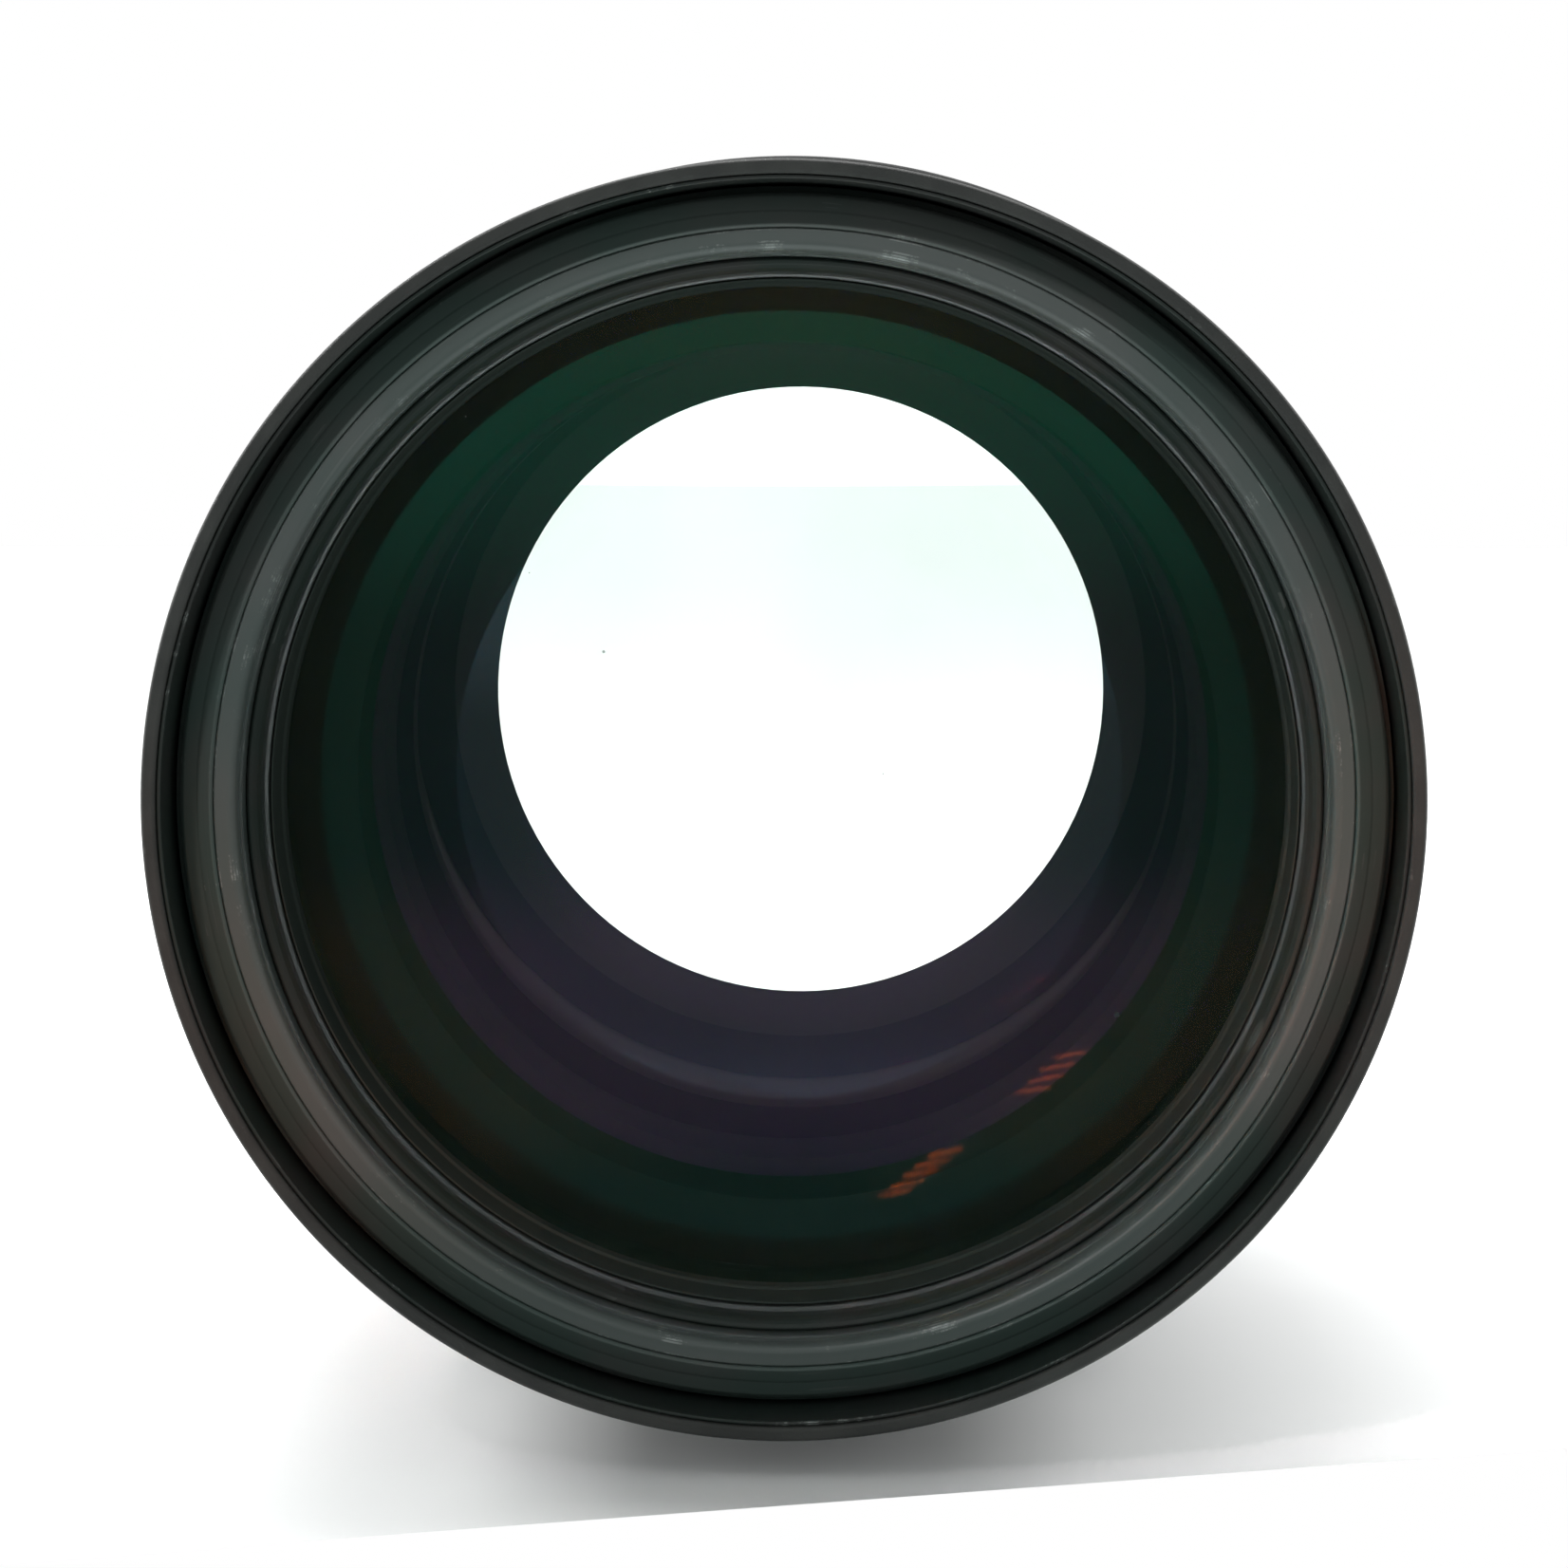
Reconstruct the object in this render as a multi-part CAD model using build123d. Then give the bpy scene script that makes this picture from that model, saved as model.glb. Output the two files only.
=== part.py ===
"""Two-inch wide-field telescope eyepiece with a twist-up eyecup, in millimetres.

Every piece is turned about the optical axis, so it is drawn in a lathe frame: a radius, and a
station along the axis that is 0 at the shoulder, positive towards the eye and negative down the
nose barrel. place() lays the finished piece down with the optical axis along Y, eye end at -Y.
"""

import math
import os

from build123d import *

# ---- driving dimensions ---------------------------------------------------------------------
BARREL_R = 25.4            # two-inch nosepiece, 50.8 mm across
BARREL_LENGTH = 30.0
EYECUP_R = 28.5            # outside of the eyecup
EYECUP_TOP = 62.0          # station of the rubber lip with the eyecup turned down
EYECUP_RISE = 7.5          # travel of the eyecup
EYECUP_TURN = 120.0        # degrees that raise it all the way
GRIP_R = 30.3              # outside of the rubber grip, the widest part
FIELD_STOP_R = 18.0        # clear radius of the field stop
FILTER_THREAD_R = 23.6     # wall of the 48 mm filter thread

# ---- fits -----------------------------------------------------------------------------------
THREAD_GAP = 0.02          # two screwed pieces, per side
RUN_GAP = 0.1              # two pieces that turn or slide on each other, per side
LENS_GAP = 0.05            # a lens in its bore, per side
SEAT_GAP = 0.05            # a ring's sloping seat to the glass it carries
CEMENT = 0.02              # film between the two glasses of a doublet

# ---- radii of the turned pieces, from the optics outwards -----------------------------------
LENS_R = 24.0              # edge of the eye doublet and the middle lens
FIELD_LENS_R = 22.5        # edge of the field doublet
CLEAR_R = 20.9             # clear radius behind the eye lens
REAR_CLEAR_R = 20.6        # clear radius behind the middle lens and the field lens
BORE_R = LENS_R + LENS_GAP
FIELD_BORE_R = FIELD_LENS_R + LENS_GAP
TOP_BORE_R = 24.35         # threaded mouth of the lens tube, above the eye lens
TUBE_R = 26.4              # outside of the lens tube, which the eyecup turns on
TUBE_NECK_R = 25.6         # threaded neck that carries the front ring
SKIRT_IN_R = TUBE_R + RUN_GAP
EYECUP_IN_R = 27.6         # inside of the thin upper wall of the eyecup
FRONT_RING_R = EYECUP_IN_R - RUN_GAP
SKIRT_R = 28.45            # skirt of the eyecup, inside the body's pocket
POCKET_R = 28.6
BODY_R = 29.9              # rims beside the rubber grip
GRIP_SEAT_R = 29.4
SHOULDER_R = 28.0
SPIGOT_R = 24.5            # threaded top of the nose barrel
BARREL_IN_R = 23.0

# ---- stations -------------------------------------------------------------------------------
BODY_TOP = 38.0
POCKET_FLOOR = 25.8
TUBE_FOOT = 4.0
TUBE_SHOULDER = 53.0       # under the front ring
TUBE_TOP = 56.0
BORE_STEP = 24.5           # where the bore narrows for the field doublet
GRIP_LOW = 12.0
GRIP_HIGH = 33.5
SKIRT_FOOT = 29.0
SKIRT_STEP = 45.0          # top of the thick part of the eyecup
SLEEVE_FOOT = 38.3         # lowest visible edge of the eyecup
JACKET_FOOT = 47.0         # lower edge of the rubber jacket
FRONT_CREST = 59.7         # highest fixed metal, just below the lip

# ---- guide screws and the helical grooves that they run in ----------------------------------
GUIDE_STATION = 32.0
GUIDE_PIN_R = 1.0
GUIDE_BODY_R = 1.5
GROOVE_HALF_WIDTH = 1.1
GROOVE_END_R = 1.2         # round pocket at each end of a groove
GROOVE_FLOOR_R = 25.3
GUIDE_COUNT = 3
GUIDE_START = 90.0         # degrees to the first guide screw, which is on top
KEY_HALF_ANGLE = 5.0       # degrees, half the width of a tongue of the click ring
KEY_START = GUIDE_START + 60.0

# ---- click stop -----------------------------------------------------------------------------
BALL_R = 0.8
BALL_CIRCLE_R = 27.6
BALL_STATION = 25.4
BALL_ANGLE = 45.0
SPRING_FOOT = 19.3
SPRING_R = 0.52
SPRING_WIRE_R = 0.13
CLICK_STEP = 30.0          # degrees from one click to the next

# ---- glass: station of each vertex and its radius of curvature ------------------------------
# A positive radius bulges towards the eye.
EYE_FRONT = (53.2, 165.0)
EYE_CEMENT = (50.2, 55.0)
EYE_BACK = (38.2, -60.0)
MIDDLE_FRONT = (37.6, 72.0)
MIDDLE_BACK = (27.6, -72.0)
FIELD_FRONT = (27.0, 55.0)
FIELD_CEMENT = (15.0, -50.0)
FIELD_BACK = (12.0, 120.0)


# ---- helpers --------------------------------------------------------------------------------
def turned(*points):
    """A ring or disc: the closed outline of (radius, station) points, turned about the axis."""
    outline = Polyline(*[(radius, 0, station) for radius, station in points], close=True)
    return revolve(make_face(outline), Axis.Z)


def cylinder(radius, low, high):
    """A plain cylinder on the axis between two stations."""
    return Pos(0, 0, (low + high) / 2) * Cylinder(radius, high - low)


def radial_cylinder(radius, inner, outer, station, angle):
    """A cylinder that points out from the axis at an angle in degrees."""
    along = Pos((inner + outer) / 2, 0, station) * Rot(0, 90, 0) * Cylinder(radius, outer - inner)
    return Rot(0, 0, angle) * along


def spread(count, start=0.0):
    """Angles in degrees of count places evenly round the axis."""
    return [start + 360.0 * i / count for i in range(count)]


def surface(vertex, radius):
    """The station of a glass surface at a distance from the axis."""
    station, curve = vertex
    return station - (curve - math.copysign(math.sqrt(curve * curve - radius * radius), curve))


def shifted(vertex, distance):
    """The same surface moved along the axis."""
    return vertex[0] + distance, vertex[1]


def lens(front, back, edge):
    """A lens between two spherical surfaces."""
    half = edge / 2
    front_arc = ThreePointArc(
        (0, 0, front[0]), (half, 0, surface(front, half)), (edge, 0, surface(front, edge))
    )
    back_arc = ThreePointArc(
        (edge, 0, surface(back, edge)), (half, 0, surface(back, half)), (0, 0, back[0])
    )
    rim = Line(front_arc @ 1, back_arc @ 0)
    axis = Line(back_arc @ 1, front_arc @ 0)
    return revolve(make_face([front_arc, rim, back_arc, axis]), Axis.Z)


def sector(low_r, high_r, low, high, middle, half_angle):
    """A block with curved sides, between two radii, two stations and two angles."""
    outline = Polyline(
        (low_r, 0, low), (high_r, 0, low), (high_r, 0, high), (low_r, 0, high), close=True
    )
    block = revolve(make_face(outline), Axis.Z, revolution_arc=2 * half_angle)
    return Rot(0, 0, middle - half_angle) * block


# ---- nose barrel and field stop -------------------------------------------------------------
RELIEF_R = 25.9            # shallow relief in the body's seat, round the neck of the barrel
RELIEF_DEPTH = 0.28
NECK_R = 24.9
FILTER_THREAD_DEPTH = 5.4
UNDERCUT_R = 24.8
UNDERCUT_HIGH = -8.0
UNDERCUT_LOW = -19.5
UNDERCUT_SLOPE = 1.0
STOP_HIGH = -21.5
STOP_LOW = -24.3


def nose_barrel():
    """The plated tube that goes into the focuser, with its safety undercut and filter thread."""
    foot = -BARREL_LENGTH
    thread_top = foot + FILTER_THREAD_DEPTH
    return turned(
        (BARREL_R, 0),
        (BARREL_R, UNDERCUT_HIGH),
        (UNDERCUT_R, UNDERCUT_HIGH - UNDERCUT_SLOPE),
        (UNDERCUT_R, UNDERCUT_LOW + 0.6),
        (BARREL_R, UNDERCUT_LOW),
        (BARREL_R, foot + 0.5),
        (BARREL_R - 0.5, foot),
        (FILTER_THREAD_R + 0.35, foot),
        (FILTER_THREAD_R, foot + 0.35),
        (FILTER_THREAD_R, thread_top),
        (BARREL_IN_R, thread_top),
        (BARREL_IN_R, 3.4),
        (BARREL_IN_R + 0.4, 3.8),
        (SPIGOT_R, 3.8),
        (SPIGOT_R, RELIEF_DEPTH),
        (NECK_R, RELIEF_DEPTH),
        (NECK_R, 0),
    )


def field_stop():
    """The blackened ring that bounds the view, screwed into the barrel, with a knife edge."""
    outer = BARREL_IN_R - THREAD_GAP
    ring = turned(
        (outer, STOP_HIGH),
        (FIELD_STOP_R + 2.4, STOP_HIGH),
        (FIELD_STOP_R, STOP_LOW + 0.55),
        (FIELD_STOP_R, STOP_LOW + 0.4),
        (FIELD_STOP_R + 0.5, STOP_LOW),
        (outer, STOP_LOW),
    )
    for angle in spread(2):
        slot = Pos(outer - 1.0, 0, STOP_LOW) * Box(3.0, 1.2, 1.6)
        ring -= Rot(0, 0, angle) * slot
    return ring


# ---- body -----------------------------------------------------------------------------------
SET_SCREW_STATION = 17.0
SET_SCREW_R = 1.5


def main_body():
    """The anodised housing: shoulder, taper, seat for the rubber grip, pocket for the eyecup."""
    body = turned(
        (SPIGOT_R + THREAD_GAP, RELIEF_DEPTH),
        (RELIEF_R, RELIEF_DEPTH),
        (RELIEF_R, 0),
        (SHOULDER_R - 0.4, 0),
        (SHOULDER_R, 0.4),
        (SHOULDER_R, 3.2),
        (SHOULDER_R - 0.7, 3.9),
        (SHOULDER_R - 0.7, 4.7),
        (SHOULDER_R, 5.4),
        (BODY_R - 0.1, 9.6),
        (BODY_R, 9.9),
        (BODY_R, GRIP_LOW - 0.2),
        (BODY_R - 0.2, GRIP_LOW),
        (GRIP_SEAT_R, GRIP_LOW),
        (GRIP_SEAT_R, GRIP_HIGH),
        (BODY_R - 0.2, GRIP_HIGH),
        (BODY_R, GRIP_HIGH + 0.2),
        (BODY_R, GRIP_HIGH + 1.5),
        (BODY_R - 0.9, BODY_TOP - 0.5),
        (BODY_R - 1.1, BODY_TOP),
        (POCKET_R, BODY_TOP),
        (POCKET_R, POCKET_FLOOR),
        (TUBE_R + THREAD_GAP, POCKET_FLOOR),
        (TUBE_R + THREAD_GAP, TUBE_FOOT - 0.05),
        (SPIGOT_R + THREAD_GAP, TUBE_FOOT - 0.05),
    )
    for angle in spread(GUIDE_COUNT, GUIDE_START):
        body -= radial_cylinder(
            SET_SCREW_R + THREAD_GAP, TUBE_R - 0.5, BODY_R + 1, SET_SCREW_STATION, angle
        )
    spring_hole = Pos(BALL_CIRCLE_R, 0, 0) * cylinder(BALL_R + 0.05, SPRING_FOOT - 0.2, BODY_TOP)
    return body - Rot(0, 0, BALL_ANGLE) * spring_hole


def hex_socket(across_flats, depth):
    """The cutter for a hexagonal key socket, pointing down from the origin."""
    return extrude(RegularPolygon(across_flats / 2, 6, major_radius=False), -depth)


def body_set_screws():
    """Three grub screws that lock the lens tube in the body, hidden under the rubber grip."""
    inner = TUBE_R + 0.05
    outer = GRIP_SEAT_R - 0.3
    screw = Cylinder(SET_SCREW_R, outer - inner, align=(Align.CENTER, Align.CENTER, Align.MAX))
    screw -= hex_socket(1.5, 1.2)
    placed = Pos(outer, 0, SET_SCREW_STATION) * Rot(0, 90, 0) * screw
    return Compound([Rot(0, 0, angle) * placed for angle in spread(GUIDE_COUNT, GUIDE_START)])


def grip_rubber():
    """The rubber band round the body."""
    inner = GRIP_SEAT_R + THREAD_GAP
    low = GRIP_LOW + 0.1
    high = GRIP_HIGH - 0.1
    return turned(
        (inner, low),
        (GRIP_R - 0.4, low),
        (GRIP_R, low + 0.4),
        (GRIP_R, high - 0.4),
        (GRIP_R - 0.4, high),
        (inner, high),
    )


# ---- lens tube ------------------------------------------------------------------------------
O_RING_STATION = 43.0
O_RING_SECTION_R = 0.72
O_RING_GROOVE_R = 24.95
O_RING_GROOVE_HALF = 0.95


def helical_groove(start_angle):
    """The cutter for one guide groove: a helical slot with a round pocket at each end."""
    depth = TUBE_R + 1.0 - GROOVE_FLOOR_R
    middle = (TUBE_R + 1.0 + GROOVE_FLOOR_R) / 2
    path = Helix(pitch=EYECUP_RISE * 360 / EYECUP_TURN, height=EYECUP_RISE, radius=middle)
    section = Plane(origin=path @ 0, x_dir=(1, 0, 0), z_dir=path % 0)
    slot = sweep(section * Rectangle(depth, 2 * GROOVE_HALF_WIDTH), path=path, is_frenet=True)
    cutters = [Rot(0, 0, start_angle) * Pos(0, 0, GUIDE_STATION) * slot]
    for share in (0, 1):
        cutters.append(
            radial_cylinder(
                GROOVE_END_R, GROOVE_FLOOR_R, TUBE_R + 1.0,
                GUIDE_STATION + share * EYECUP_RISE, start_angle + share * EYECUP_TURN,
            )
        )
    return cutters


def lens_tube():
    """The inner tube: it holds all the glass, and the eyecup turns on its outside."""
    tube = turned(
        (FIELD_BORE_R, TUBE_FOOT),
        (TUBE_R, TUBE_FOOT),
        (TUBE_R, O_RING_STATION - O_RING_GROOVE_HALF),
        (O_RING_GROOVE_R, O_RING_STATION - O_RING_GROOVE_HALF),
        (O_RING_GROOVE_R, O_RING_STATION + O_RING_GROOVE_HALF),
        (TUBE_R, O_RING_STATION + O_RING_GROOVE_HALF),
        (TUBE_R, TUBE_SHOULDER),
        (TUBE_NECK_R, TUBE_SHOULDER),
        (TUBE_NECK_R, TUBE_TOP),
        (TOP_BORE_R, TUBE_TOP),
        (TOP_BORE_R, 51.9),
        (BORE_R, 51.9),
        (BORE_R, BORE_STEP),
        (FIELD_BORE_R, BORE_STEP),
    )
    for start in spread(GUIDE_COUNT, GUIDE_START):
        for cutter in helical_groove(start):
            tube -= cutter
    return tube


def drag_o_ring():
    """The greased ring that gives the eyecup its drag."""
    centre = TUBE_R + 0.04 - O_RING_SECTION_R
    return Pos(0, 0, O_RING_STATION) * Torus(centre, O_RING_SECTION_R)


# ---- glass, spacers and the ring under the field lens ---------------------------------------
def eye_flint():
    return lens(EYE_FRONT, shifted(EYE_CEMENT, CEMENT / 2), LENS_R)


def eye_crown():
    return lens(shifted(EYE_CEMENT, -CEMENT / 2), EYE_BACK, LENS_R)


def middle_lens():
    return lens(MIDDLE_FRONT, MIDDLE_BACK, LENS_R)


def field_crown():
    return lens(FIELD_FRONT, shifted(FIELD_CEMENT, CEMENT / 2), FIELD_LENS_R)


def field_flint():
    return lens(shifted(FIELD_CEMENT, -CEMENT / 2), FIELD_BACK, FIELD_LENS_R)


def front_spacer():
    """The ring between the eye doublet and the middle lens."""
    return turned(
        (CLEAR_R, surface(MIDDLE_FRONT, CLEAR_R) + SEAT_GAP),
        (LENS_R, surface(MIDDLE_FRONT, LENS_R) + SEAT_GAP),
        (LENS_R, surface(EYE_BACK, LENS_R) - SEAT_GAP),
        (CLEAR_R, surface(EYE_BACK, CLEAR_R) - SEAT_GAP),
    )


def rear_spacer():
    """The stepped ring between the middle lens and the field doublet."""
    step = BORE_STEP + 0.05
    return turned(
        (REAR_CLEAR_R, surface(FIELD_FRONT, REAR_CLEAR_R) + SEAT_GAP),
        (FIELD_LENS_R, surface(FIELD_FRONT, FIELD_LENS_R) + SEAT_GAP),
        (FIELD_LENS_R, step),
        (LENS_R, step),
        (LENS_R, surface(MIDDLE_BACK, LENS_R) - SEAT_GAP),
        (REAR_CLEAR_R, surface(MIDDLE_BACK, REAR_CLEAR_R) - SEAT_GAP),
    )


def field_retainer():
    """The slotted ring that holds the field doublet from below."""
    top = surface(FIELD_BACK, FIELD_LENS_R) - SEAT_GAP
    foot = top - 3.4
    outer = FIELD_BORE_R - THREAD_GAP
    ring = turned((REAR_CLEAR_R, foot + 0.4), (REAR_CLEAR_R + 0.4, foot), (outer, foot),
                  (outer, top), (REAR_CLEAR_R, top))
    for angle in spread(2, 90.0):
        ring -= Rot(0, 0, angle) * Pos(outer - 0.6, 0, foot) * Box(2.0, 1.2, 2.0)
    return ring


# ---- fixed rings round the eye lens ---------------------------------------------------------
FRONT_SEAM_R = 25.55       # joint between the front ring and its lock ring
FRONT_CREST_R = 25.72      # sharp highest edge of the front ring
FRONT_FACE_R = 27.15       # outside of its sloping face, which leaves a dark gap to the eyecup
CREST_IN_R = 25.05
CHAMFER_IN_R = 24.45


def front_ring():
    """The sloping ring on the neck of the lens tube, inside the eyecup."""
    return turned(
        (TUBE_NECK_R + THREAD_GAP, TUBE_SHOULDER),
        (FRONT_RING_R, TUBE_SHOULDER),
        (FRONT_RING_R, 56.4),
        (FRONT_FACE_R, 56.8),
        (FRONT_FACE_R, 58.7),
        (FRONT_FACE_R - 0.15, 58.9),
        (FRONT_CREST_R, FRONT_CREST),
        (FRONT_SEAM_R + THREAD_GAP, FRONT_CREST - 0.12),
        (FRONT_SEAM_R + THREAD_GAP, TUBE_TOP + 0.02),
        (TUBE_NECK_R + THREAD_GAP, TUBE_TOP + 0.02),
    )


def front_lock_ring():
    """The ring with the bright chamfer, screwed into the front ring above the tube."""
    return turned(
        (TOP_BORE_R + THREAD_GAP, TUBE_TOP + 0.04),
        (FRONT_SEAM_R, TUBE_TOP + 0.04),
        (FRONT_SEAM_R, FRONT_CREST - 0.12),
        (FRONT_SEAM_R - 0.06, FRONT_CREST - 0.06),
        (CREST_IN_R, FRONT_CREST - 0.06),
        (CHAMFER_IN_R, FRONT_CREST - 0.66),
        (TOP_BORE_R + THREAD_GAP, FRONT_CREST - 0.75),
    )


def eye_retainer():
    """The stepped ring that clamps the eye lens, in the threaded mouth of the tube."""
    outer = TOP_BORE_R - THREAD_GAP
    lip = 23.2
    edge = LENS_R - 0.05
    return turned(
        (lip, surface(EYE_FRONT, lip) + SEAT_GAP),
        (edge, surface(EYE_FRONT, edge) + SEAT_GAP),
        (edge, 51.95),
        (outer, 51.95),
        (outer, 57.5),
        (outer - 0.1, 57.6),
        (23.5, 55.8),
        (23.45, 55.3),
        (23.3, 55.2),
        (23.3, 52.7),
        (lip, 52.4),
    )


# ---- click stop -----------------------------------------------------------------------------
CLICK_FOOT = 26.0
CLICK_TOP = 28.3
TONGUE_TOP = 40.0
TONGUE_IN_R = TUBE_R + RUN_GAP + 0.1
TONGUE_OUT_R = 27.4


def click_ring():
    """The ring that turns with the eyecup, with a ball track below and three tongues above."""
    ring = turned(
        (TUBE_R + RUN_GAP, CLICK_FOOT),
        (BALL_CIRCLE_R - 0.6, CLICK_FOOT),
        (BALL_CIRCLE_R - 0.45, CLICK_FOOT + 0.4),
        (BALL_CIRCLE_R + 0.45, CLICK_FOOT + 0.4),
        (BALL_CIRCLE_R + 0.6, CLICK_FOOT),
        (POCKET_R - RUN_GAP, CLICK_FOOT),
        (POCKET_R - RUN_GAP, CLICK_TOP),
        (TUBE_R + RUN_GAP, CLICK_TOP),
    )
    clicks = round(EYECUP_TURN / CLICK_STEP) + 1
    for i in range(clicks):
        dimple = Pos(BALL_CIRCLE_R, 0, CLICK_FOOT + 0.2) * Sphere(0.75)
        ring -= Rot(0, 0, BALL_ANGLE - CLICK_STEP * i) * dimple
    for angle in spread(GUIDE_COUNT, KEY_START):
        ring += sector(
            TONGUE_IN_R, TONGUE_OUT_R, CLICK_TOP - 0.5, TONGUE_TOP, angle, KEY_HALF_ANGLE
        )
    return ring


def click_ball():
    return Rot(0, 0, BALL_ANGLE) * Pos(BALL_CIRCLE_R, 0, BALL_STATION) * Sphere(BALL_R)


def click_spring():
    """The coil spring under the ball."""
    top = BALL_STATION - BALL_R - 0.1
    turns = 7
    height = top - SPRING_FOOT - 2 * SPRING_WIRE_R
    path = Helix(pitch=height / turns, height=height, radius=SPRING_R)
    section = Plane(origin=path @ 0, z_dir=path % 0) * Circle(SPRING_WIRE_R)
    coil = sweep(section, path=path, is_frenet=True)
    lift = Pos(BALL_CIRCLE_R, 0, SPRING_FOOT + SPRING_WIRE_R)
    return Rot(0, 0, BALL_ANGLE) * lift * coil


# ---- eyecup ---------------------------------------------------------------------------------
JACKET_IN_R = 28.05
BEAD_R = 27.8              # metal bead inside the rubber lip
BEAD_TOP = 61.75
SLEEVE_TOP = 61.2


def eyecup_sleeve():
    """The turning sleeve: a thick skirt that runs in the pocket, and a thin wall above."""
    sleeve = turned(
        (SKIRT_IN_R, SKIRT_FOOT),
        (SKIRT_R, SKIRT_FOOT),
        (SKIRT_R, SLEEVE_FOOT),
        (EYECUP_R - 0.25, SLEEVE_FOOT),
        (EYECUP_R, SLEEVE_FOOT + 0.25),
        (EYECUP_R, JACKET_FOOT - 0.2),
        (EYECUP_R - 0.2, JACKET_FOOT),
        (JACKET_IN_R, JACKET_FOOT),
        (JACKET_IN_R, SLEEVE_TOP),
        (BEAD_R, SLEEVE_TOP),
        (BEAD_R, BEAD_TOP - 0.05),
        (BEAD_R - 0.05, BEAD_TOP),
        (EYECUP_IN_R + 0.05, BEAD_TOP),
        (EYECUP_IN_R, BEAD_TOP - 0.05),
        (EYECUP_IN_R, SKIRT_STEP),
        (SKIRT_IN_R, SKIRT_STEP),
    )
    for angle in spread(GUIDE_COUNT, GUIDE_START):
        sleeve -= radial_cylinder(
            GUIDE_BODY_R + THREAD_GAP, SKIRT_IN_R - 1, EYECUP_R + 1, GUIDE_STATION, angle
        )
    for angle in spread(GUIDE_COUNT, KEY_START):
        sleeve -= sector(
            SKIRT_IN_R - 1, TONGUE_OUT_R + RUN_GAP, SKIRT_FOOT - 1, SKIRT_STEP + 1,
            angle, KEY_HALF_ANGLE + 0.35,
        )
    return sleeve


def guide_screws():
    """Three grub screws whose points run in the helical grooves of the lens tube."""
    outer = SKIRT_R - 0.15
    neck = SKIRT_IN_R + 0.1
    tip = GROOVE_FLOOR_R + 0.15
    screw = Pos(0, 0, (neck + outer) / 2) * Cylinder(GUIDE_BODY_R, outer - neck)
    screw += Pos(0, 0, (tip + neck) / 2) * Cylinder(GUIDE_PIN_R, neck - tip)
    screw -= Pos(0, 0, outer) * hex_socket(1.5, 1.1)
    placed = Pos(0, 0, GUIDE_STATION) * Rot(0, 90, 0) * screw
    return Compound([Rot(0, 0, angle) * placed for angle in spread(GUIDE_COUNT, GUIDE_START)])


def eyecup_rubber():
    """The rubber jacket of the eyecup, which folds over the top as a narrow lip."""
    inner = JACKET_IN_R + THREAD_GAP
    return turned(
        (inner, JACKET_FOOT + 0.05),
        (EYECUP_R - 0.15, JACKET_FOOT + 0.05),
        (EYECUP_R, JACKET_FOOT + 0.2),
        (EYECUP_R, EYECUP_TOP - 0.3),
        (EYECUP_R - 0.09, EYECUP_TOP - 0.09),
        (EYECUP_R - 0.3, EYECUP_TOP),
        (BEAD_R + 0.1, EYECUP_TOP),
        (BEAD_R + THREAD_GAP, EYECUP_TOP - 0.08),
        (BEAD_R + THREAD_GAP, SLEEVE_TOP + 0.02),
        (inner, SLEEVE_TOP + 0.02),
    )


# ---- write the parts ------------------------------------------------------------------------
PARTS = [
    nose_barrel, field_stop, main_body, body_set_screws, grip_rubber, lens_tube, drag_o_ring,
    eye_flint, eye_crown, front_spacer, middle_lens, rear_spacer, field_crown, field_flint,
    field_retainer, front_ring, front_lock_ring, eye_retainer, click_ring, click_ball,
    click_spring, eyecup_sleeve, guide_screws, eyecup_rubber,
]


def place(piece):
    """From the lathe frame to the row frame: the optical axis along Y, the eye end at -Y."""
    return Rot(90, 0, 0) * piece


os.makedirs("parts", exist_ok=True)
for make in PARTS:
    export_step(place(make()), f"parts/{make.__name__}.step")
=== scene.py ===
"""Looks of a two-inch wide-field eyepiece with a twist-up eyecup, piece by piece from the nose up.

Lengths in the sections are millimetres along and out from the optical axis. A station is 0 at the
shoulder, positive towards the eye and negative down the nose barrel, so a station s is at y = -s.
"""

import math

import bmesh
import bpy
from mathutils import Matrix, Vector


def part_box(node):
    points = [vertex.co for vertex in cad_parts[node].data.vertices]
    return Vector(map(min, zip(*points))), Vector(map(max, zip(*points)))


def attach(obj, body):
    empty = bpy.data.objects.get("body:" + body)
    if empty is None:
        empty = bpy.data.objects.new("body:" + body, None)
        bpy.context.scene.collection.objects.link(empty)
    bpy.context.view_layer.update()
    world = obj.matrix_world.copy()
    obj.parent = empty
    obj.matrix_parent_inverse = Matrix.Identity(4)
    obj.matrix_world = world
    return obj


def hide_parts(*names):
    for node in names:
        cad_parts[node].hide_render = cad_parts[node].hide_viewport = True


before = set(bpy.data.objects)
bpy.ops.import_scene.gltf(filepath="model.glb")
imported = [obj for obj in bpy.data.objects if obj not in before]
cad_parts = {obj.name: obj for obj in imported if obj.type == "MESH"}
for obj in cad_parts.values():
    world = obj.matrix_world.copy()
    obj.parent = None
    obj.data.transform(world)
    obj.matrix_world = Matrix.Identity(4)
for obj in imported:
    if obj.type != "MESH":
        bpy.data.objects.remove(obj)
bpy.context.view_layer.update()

# ---- Nose barrel ----------------------------------------------------------------------------
# A turned brass tube, satin chrome plated, that slides into the focuser. A shallow undercut
# keeps it from dropping out if a thumbscrew slips, and the mouth is threaded for filters.

MM = 0.001


def reach(cad_name):
    """Lowest station, highest station and outside radius of a CAD node, in millimetres."""
    low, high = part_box(cad_name)
    return -high.y / MM, -low.y / MM, high.x / MM


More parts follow.
